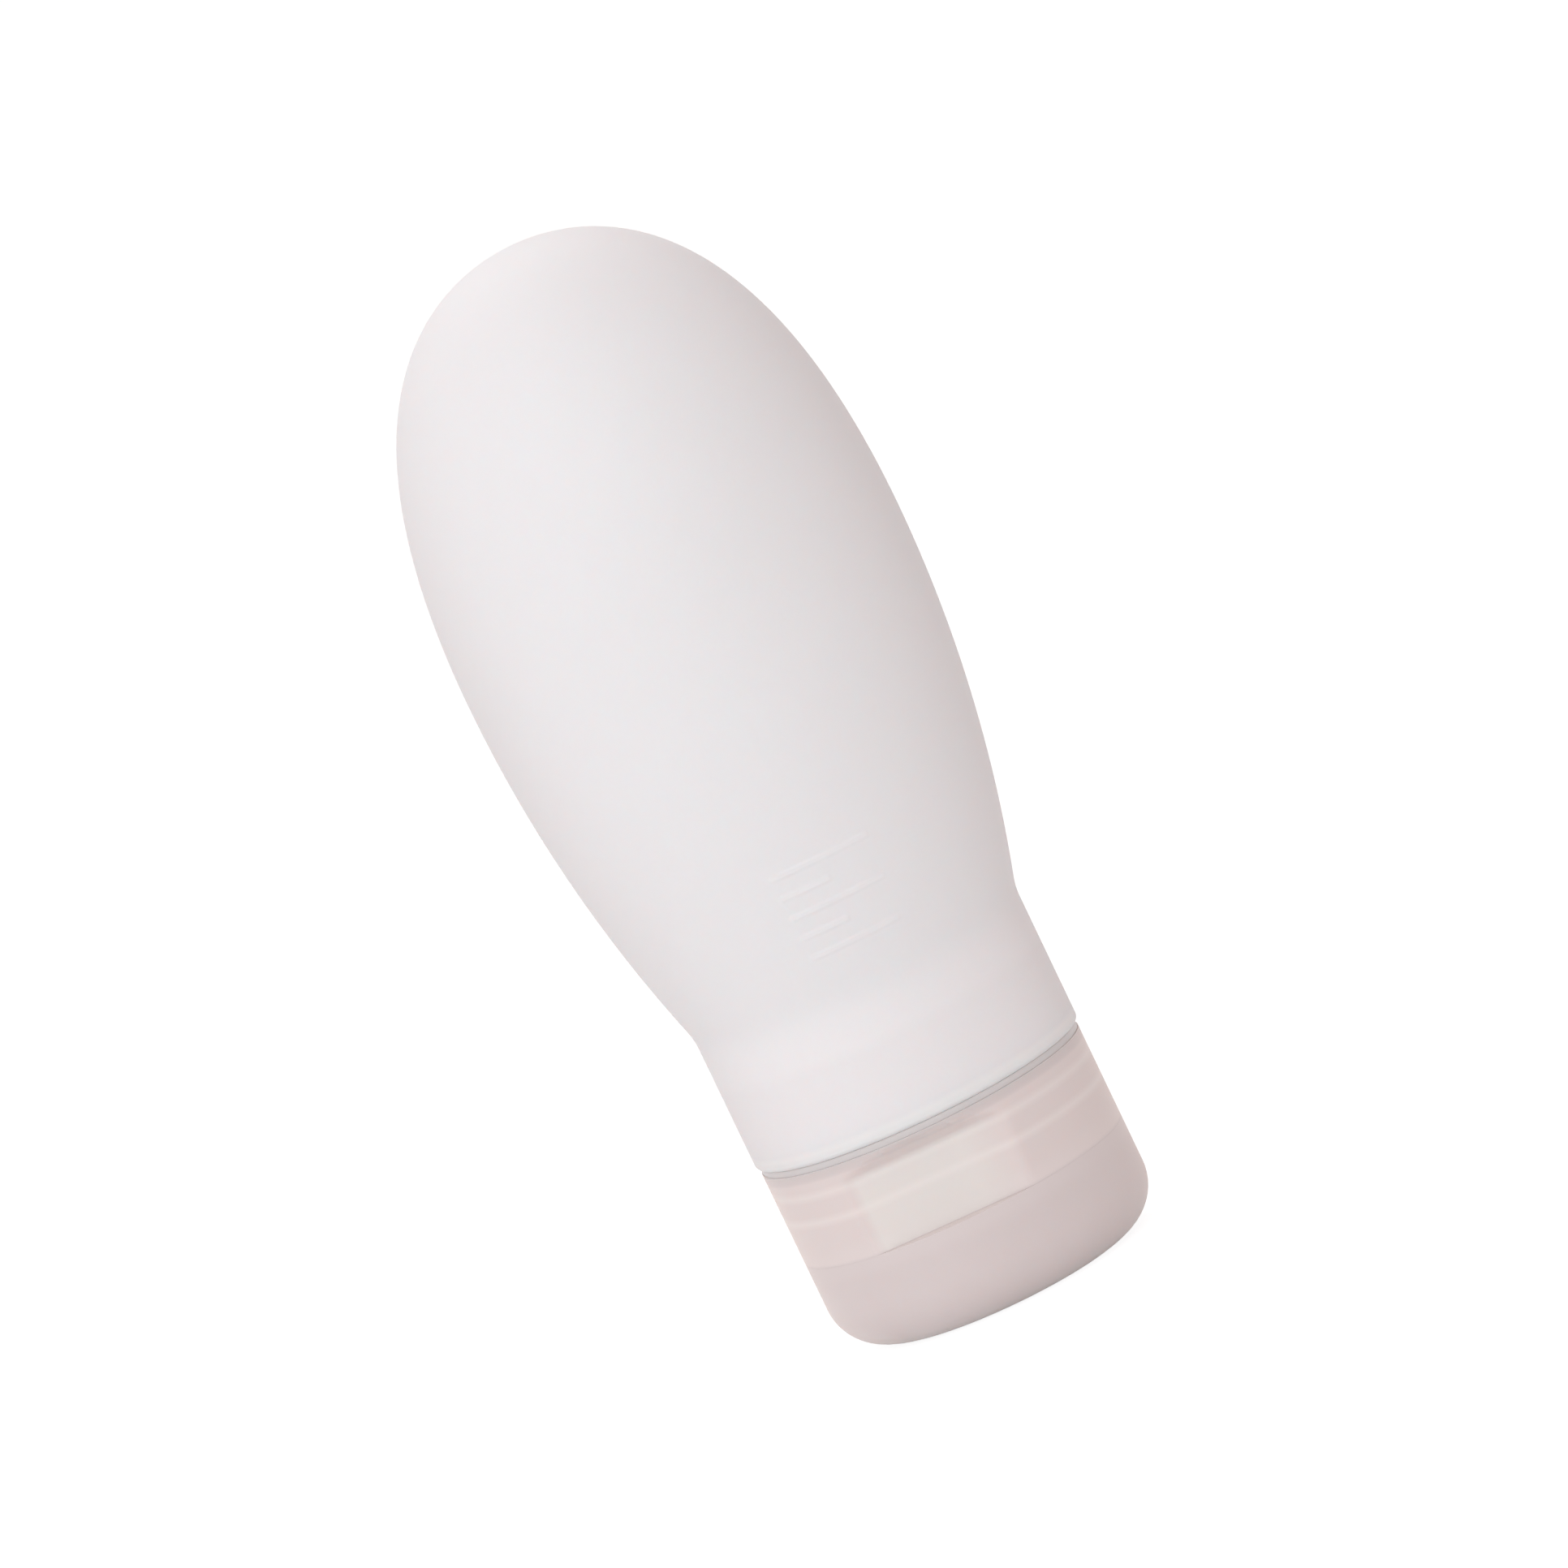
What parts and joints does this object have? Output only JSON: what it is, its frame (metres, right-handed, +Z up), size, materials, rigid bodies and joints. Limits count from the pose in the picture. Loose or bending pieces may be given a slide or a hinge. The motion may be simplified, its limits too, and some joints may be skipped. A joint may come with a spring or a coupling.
{
  "type": "travel silicone squeeze bottle",
  "caption": "Soft silicone squeeze bottle with a rounded end and a drawn-in neck, standing on a screw cap whose flip lid covers a valved nozzle.",
  "frame": {"origin": "middle of the flat end of the flip lid, on which the bottle stands", "axes": "+Z up along the bottle's axis to the rounded end, -Y towards the thumb recess, +Y towards the lid's hinge"},
  "size_m": [0.0426, 0.0426, 0.1042],
  "materials": {
    "body_silicone": "frosted translucent white silicone",
    "seal_silicone": "satin translucent silicone",
    "collar_plastic": "frosted translucent plastic",
    "cap_plastic": "frosted translucent plastic, faintly pink grey",
    "pin_steel": "satin"
  },
  "bodies": {
    "cap": {"cap_base": "cap_plastic", "drip_valve": "seal_silicone", "valve_retainer": "collar_plastic", "hinge_pin": "pin_steel"},
    "bottle": {"silicone_body": "body_silicone", "neck_collar": "collar_plastic"},
    "seal": {"neck_gasket": "seal_silicone"},
    "lid": {"flip_lid": "cap_plastic"}
  },
  "joints": [
    {"name": "neck_turn", "type": "hinge", "parent": "cap", "child": "seal", "pos_m": [0, 0, 0.01025], "axis": [0, 0, 1], "range_deg": [0, 540]},
    {"name": "neck_lift", "type": "slide", "parent": "seal", "child": "bottle", "axis": [0, 0, 1], "range_m": [0, 0.0076]},
    {"name": "lid_hinge", "type": "hinge", "parent": "cap", "child": "lid", "pos_m": [0, 0.0164, 0.00955], "axis": [1, 0, 0], "range_deg": [0, 180]}
  ],
  "couplings": [
    {"joint": "neck_lift", "follows": "neck_turn", "m_per_rad": 0.00079577}
  ]
}
